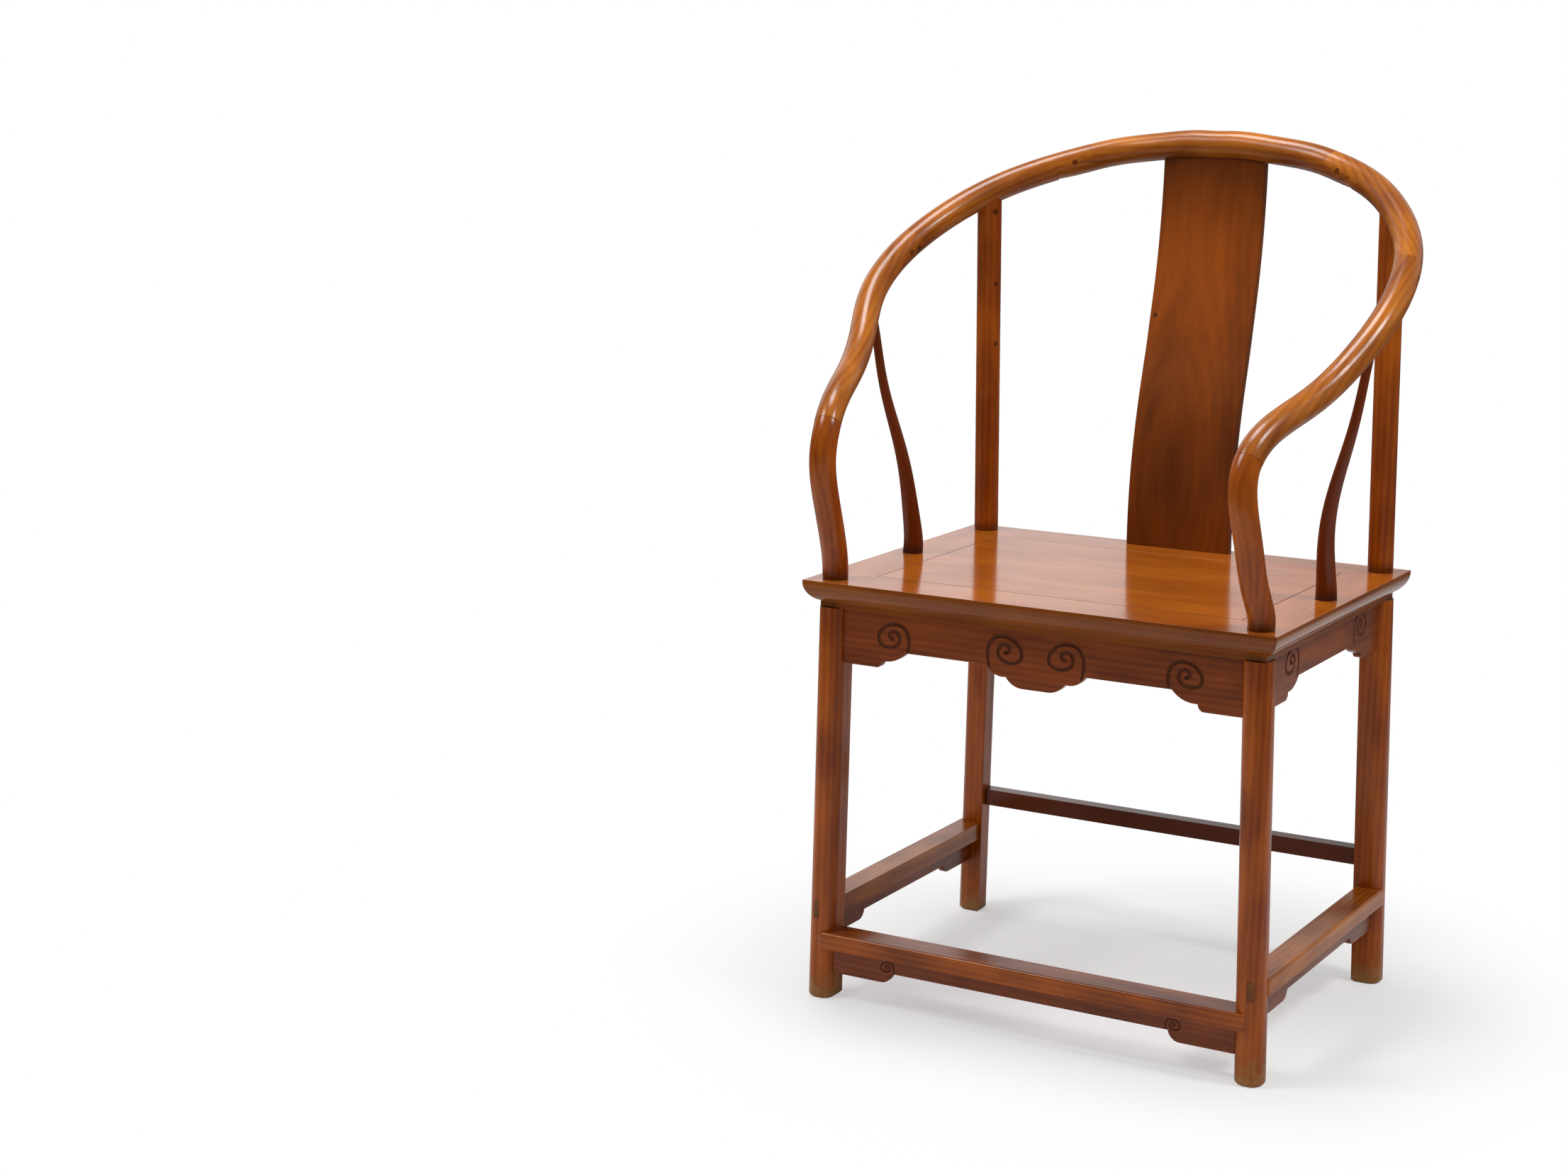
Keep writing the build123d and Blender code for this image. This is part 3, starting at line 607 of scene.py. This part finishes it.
class ARMCHAIR_OT_aprons(bpy.types.Operator):
    """Carve, ease and polish the aprons under the seat and under the stretchers"""

    bl_idname = "armchair.aprons"
    bl_label = "Aprons"

    def execute(self, context):
        wood = context.scene.armchair_wood
        carving = context.scene.armchair_carving
        width, groove = carving.scroll_width, carving.groove_width
        drop_width = width * DROP_SCROLL_SIZE
        small_width, small_groove = carving.small_scroll_width, groove * FOOTREST_GROOVE
        # The dark wax in the grooves is also painted shade.
        wax = old_wax("old wax in the carving")
        sides = ((-1, "left"), (1, "right"))

        def finish(name, along, cutters=()):
            material = rosewood(name, wood.apron_dark, wood.apron_light, along)
            eased(name, material, cutters=cutters)

        # Each scroll starts at the edge of its board and winds away from it.
        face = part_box("front_apron")[0].y
        cutters = []
        for side, _ in sides:
            out, up = END_SCROLL
            cutters.append(scroll((side * out, face, up), X * -side, -Y, width, groove, wax))
            out, up = DROP_SCROLL
            cutters.append(scroll((side * out, face, up), X * side, -Y, drop_width, groove, wax))
        finish("front_apron", X, cutters)
        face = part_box("footrest_apron")[0].y
        out, up = FOOTREST_SCROLL
        finish("footrest_apron", X, [
            scroll((side * out, face, up), X * -side, -Y, small_width, small_groove, wax)
            for side, _ in sides
        ])
        out, up = SIDE_SCROLL
        for side, word in sides:
            name = "side_apron_" + word
            low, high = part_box(name)
            face = high.x if side > 0 else low.x
            centre = (low.y + high.y) / 2
            finish(name, Y, [
                scroll((face, centre + end * out, up), Y * -end, X * side, width, groove, wax)
                for end in (-1, 1)
            ])
            finish("lower_apron_" + word, Y)
        finish("back_apron", X)
        return {"FINISHED"}


class ARMCHAIR_OT_stretchers(bpy.types.Operator):
    """Ease and polish the footrest and the stretchers"""

    bl_idname = "armchair.stretchers"
    bl_label = "Stretchers"

    def execute(self, context):
        wood = context.scene.armchair_wood
        # The side stretchers are paler than the footrest, and the back one is the darkest.
        sticks = {
            "footrest": (wood.apron_dark, wood.post_light, X),
            "back_stretcher": (wood.apron_dark, wood.apron_dark, X),
            "side_stretcher_left": (wood.post_dark, wood.rail_light, Y),
            "side_stretcher_right": (wood.rail_dark, wood.rail_light, Y),
        }
        for name, (dark, light, along) in sticks.items():
            eased(name, rosewood(name, dark, light, along))
        return {"FINISHED"}


# ---------------------------------------------------------------- stage
def set_camera(scene, lens):
    """Stand the camera in front of the chair, to its right and a little above it."""
    data = bpy.data.cameras.new("camera")
    data.sensor_fit = "HORIZONTAL"
    data.sensor_width = SENSOR_WIDTH
    data.lens = lens
    data.shift_x, data.shift_y = CAMERA_SHIFT
    camera = bpy.data.objects.new("camera", data)
    scene.collection.objects.link(camera)
    yaw, pitch, roll = CAMERA_YAW, CAMERA_PITCH, CAMERA_ROLL
    right = Vector((cos(yaw), sin(yaw), 0))
    forward = Vector((-sin(yaw) * cos(pitch), cos(yaw) * cos(pitch), -sin(pitch)))
    up = right.cross(forward)
    x_axis = right * cos(roll) + up * sin(roll)
    y_axis = up * cos(roll) - right * sin(roll)
    matrix = Matrix((x_axis, y_axis, -forward)).transposed().to_4x4()
    matrix.translation = Vector(CAMERA_PLACE) * MM
    camera.matrix_world = matrix
    scene.camera = camera


def lay_floor(scene, stage):
    """Lay a sheet of matt white paper under the chair."""
    bm = bmesh.new()
    bmesh.ops.create_grid(bm, x_segments=1, y_segments=1, size=PAPER_REACH)
    mesh = bpy.data.meshes.new("floor")
    bm.to_mesh(mesh)
    bm.free()
    floor = bpy.data.objects.new("floor", mesh)
    scene.collection.objects.link(floor)
    material, tree = empty_material("matt white paper floor")
    paper = node(tree, "ShaderNodeBsdfDiffuse", {"Color": (*stage.floor, 1)}).outputs[0]
    white = node(tree, "ShaderNodeEmission", {
        "Color": (1, 1, 1, 1), "Strength": 1.0,
    }).outputs[0]
    dim = node(tree, "ShaderNodeEmission", {
        "Color": (1, 1, 1, 1), "Strength": stage.room,
    }).outputs[0]
    ray = node(tree, "ShaderNodeLightPath")
    place = node(tree, "ShaderNodeTexCoord").outputs["Object"]
    away = node(tree, "ShaderNodeVectorMath", {0: place}, operation="LENGTH").outputs["Value"]
    # To the eye the paper fades to pure white, while its light shadow stays. In the polish it
    # ends in the dim room.
    surface = paper
    for (near, far), least, seen_by, beyond in (
        (PAPER_FADE, stage.lift, "Is Camera Ray", white),
        (PAPER_END, 0.0, "Is Glossy Ray", dim),
    ):
        fade = node(tree, "ShaderNodeMapRange", {
            "Value": away, "From Min": near, "From Max": far, "To Min": least, "To Max": 1.0,
        }, interpolation_type=SMOOTH).outputs[0]
        share = node(tree, "ShaderNodeMath", {
            0: fade, 1: ray.outputs[seen_by],
        }, operation="MULTIPLY").outputs[0]
        surface = node(tree, "ShaderNodeMixShader", {0: share, 1: surface, 2: beyond}).outputs[0]
    node(tree, "ShaderNodeOutputMaterial", {"Surface": surface})
    mesh.materials.append(material)


def light_room(scene, stage):
    """Light the chair softly from all round, in a room that is pure white to the eye."""
    world = bpy.data.worlds.new("white room")
    scene.world = world
    world.use_nodes = True
    tree = world.node_tree
    tree.nodes.clear()
    ray = node(tree, "ShaderNodeLightPath")
    outward = node(tree, "ShaderNodeTexCoord").outputs["Generated"]
    way = node(tree, "ShaderNodeSeparateXYZ", {0: outward})
    # The polish shows a white backdrop behind the chair, and a darker room in front and above.
    wall = 1.0
    for axis, low, high, first, last in (
        ("Y", -0.15, 0.4, 0.0, 1.0),      # behind the chair
        ("Z", 0.35, 0.75, 1.0, 0.0),      # not overhead
        ("Z", 0.04, 0.15, 0.0, 1.0),      # above the horizon
        ("X", -0.44, -0.26, 1.0, 0.45),   # lit from the left, so it falls off to the right
    ):
        part = node(tree, "ShaderNodeMapRange", {
            "Value": way.outputs[axis], "From Min": low, "From Max": high,
            "To Min": first, "To Max": last,
        }, interpolation_type=SMOOTH).outputs[0]
        wall = node(tree, "ShaderNodeMath", {0: wall, 1: part}, operation="MULTIPLY").outputs[0]
    backdrop = node(tree, "ShaderNodeMapRange", {
        "Value": wall, "To Min": stage.room, "To Max": 1.0,
    }).outputs[0]
    plain = node(tree, "ShaderNodeMix", {
        0: ray.outputs["Is Glossy Ray"], 2: stage.ambient, 3: backdrop,
    }).outputs[0]
    strength = node(tree, "ShaderNodeMix", {
        0: ray.outputs["Is Camera Ray"], 2: plain, 3: 1.0,
    }).outputs[0]
    glow = node(tree, "ShaderNodeBackground", {
        "Color": (1, 1, 1, 1), "Strength": strength,
    }).outputs[0]
    node(tree, "ShaderNodeOutputWorld", {"Surface": glow})


def hang_lamps(scene, stage):
    """Hang round softboxes above the chair, to its front left and to its right."""
    for name, (spot, size, share) in LAMPS.items():
        light = bpy.data.lights.new(name, "AREA")
        light.shape = "DISK"
        light.size = size
        light.energy = stage.overhead * share
        lamp = bpy.data.objects.new(name, light)
        scene.collection.objects.link(lamp)
        lamp.location = spot
        aim = LAMP_AIM - Vector(spot)
        lamp.rotation_euler = aim.to_track_quat("-Z", "Y").to_euler()


class ARMCHAIR_OT_stage(bpy.types.Operator):
    """Set the camera, lay the floor and hang the lights"""

    bl_idname = "armchair.stage"
    bl_label = "Stage"

    def execute(self, context):
        scene, stage = context.scene, context.scene.armchair_stage
        set_camera(scene, stage.lens)
        lay_floor(scene, stage)
        light_room(scene, stage)
        hang_lamps(scene, stage)
        scene.view_settings.view_transform = "Standard"
        return {"FINISHED"}


OPERATORS = (
    ARMCHAIR_OT_stage, ARMCHAIR_OT_crest_rail, ARMCHAIR_OT_posts, ARMCHAIR_OT_splat,
    ARMCHAIR_OT_seat, ARMCHAIR_OT_aprons, ARMCHAIR_OT_stretchers,
)


class ARMCHAIR_PT_panel(bpy.types.Panel):
    """Settings and steps of the armchair"""

    bl_idname = "ARMCHAIR_PT_panel"
    bl_label = "Horseshoe Back Armchair"
    bl_space_type = "VIEW_3D"
    bl_region_type = "UI"
    bl_category = "Armchair"

    def draw(self, context):
        for name in GROUPS:
            group = getattr(context.scene, name)
            box = self.layout.box()
            for key in group.__annotations__:
                box.prop(group, key)
        for operator in OPERATORS:
            self.layout.operator(operator.bl_idname)


GROUPS = {
    "armchair_wood": ArmchairWood,
    "armchair_carving": ArmchairCarving,
    "armchair_stage": ArmchairStage,
}


def register():
    """Add the settings, the operators and the panel to Blender."""
    for made in (*GROUPS.values(), *OPERATORS, ARMCHAIR_PT_panel):
        bpy.utils.register_class(made)
    for name, group in GROUPS.items():
        setattr(bpy.types.Scene, name, PointerProperty(type=group))


def unregister():
    """Take them all away again."""
    for name in GROUPS:
        delattr(bpy.types.Scene, name)
    for made in reversed((*GROUPS.values(), *OPERATORS, ARMCHAIR_PT_panel)):
        bpy.utils.unregister_class(made)


def main():
    """Make the whole chair and its stage."""
    register()
    bpy.ops.armchair.stage()
    bpy.ops.armchair.crest_rail()
    bpy.ops.armchair.posts()
    bpy.ops.armchair.splat()
    bpy.ops.armchair.seat()
    bpy.ops.armchair.aprons()
    bpy.ops.armchair.stretchers()


if __name__ == "__main__":
    main()
